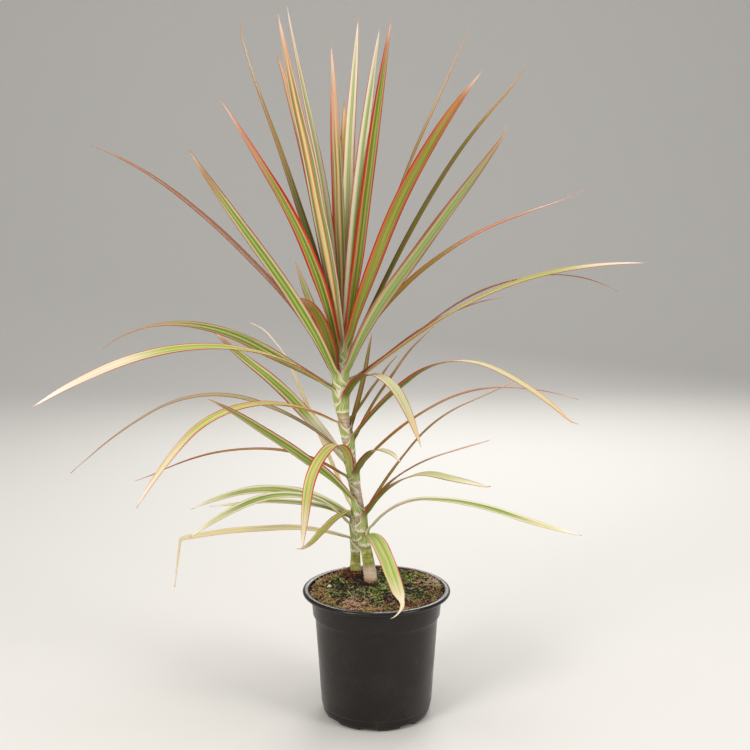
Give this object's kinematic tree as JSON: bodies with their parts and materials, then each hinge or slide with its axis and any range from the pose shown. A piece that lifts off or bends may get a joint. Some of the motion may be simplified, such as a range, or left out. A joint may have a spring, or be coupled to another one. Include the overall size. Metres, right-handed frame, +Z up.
{
  "type": "potted bicolor madagascar dragon tree",
  "caption": "Young dragon tree with ringed cane stems and long arching leaves, striped green and cream with red edges, standing in a round black nursery pot filled with soil.",
  "frame": {"origin": "centre of the pot's flat underside", "axes": "+Z up along the stems; the side that the picture shows faces -Y, with +X to its right"},
  "size_m": [0.4641, 0.2432, 0.5587],
  "materials": {
    "pot": "satin black, moulded",
    "soil": "loose, moist, mossy",
    "cane": "ringed bark",
    "leaf": "smooth, slightly waxy"
  },
  "bodies": {
    "root": {"pot": "pot", "soil": "soil", "main_stem": "cane", "second_stem": "cane", "crown_leaf_01": "leaf", "crown_leaf_02": "leaf", "crown_leaf_03": "leaf", "crown_leaf_04": "leaf", "crown_leaf_05": "leaf", "crown_leaf_06": "leaf", "crown_leaf_07": "leaf", "crown_leaf_08": "leaf", "crown_leaf_09": "leaf", "crown_leaf_10": "leaf", "crown_leaf_11": "leaf", "crown_leaf_12": "leaf", "crown_leaf_13": "leaf", "crown_leaf_14": "leaf", "crown_leaf_15": "leaf", "crown_leaf_16": "leaf", "crown_leaf_17": "leaf", "crown_leaf_18": "leaf", "crown_leaf_19": "leaf", "crown_leaf_20": "leaf", "crown_leaf_21": "leaf", "middle_leaf_01": "leaf", "middle_leaf_02": "leaf", "middle_leaf_03": "leaf", "middle_leaf_04": "leaf", "middle_leaf_05": "leaf", "middle_leaf_06": "leaf", "middle_leaf_07": "leaf", "middle_leaf_08": "leaf", "middle_leaf_09": "leaf", "middle_leaf_10": "leaf", "middle_leaf_11": "leaf", "middle_leaf_12": "leaf", "middle_leaf_13": "leaf", "middle_leaf_14": "leaf", "middle_leaf_15": "leaf", "middle_leaf_16": "leaf", "middle_leaf_17": "leaf", "middle_leaf_18": "leaf", "middle_leaf_19": "leaf", "lower_leaf_01": "leaf", "lower_leaf_02": "leaf", "lower_leaf_03": "leaf", "lower_leaf_04": "leaf", "second_stem_leaf_01": "leaf", "second_stem_leaf_02": "leaf", "second_stem_leaf_03": "leaf", "second_stem_leaf_04": "leaf", "second_stem_leaf_05": "leaf", "second_stem_leaf_06": "leaf"}
  },
  "joints": []
}
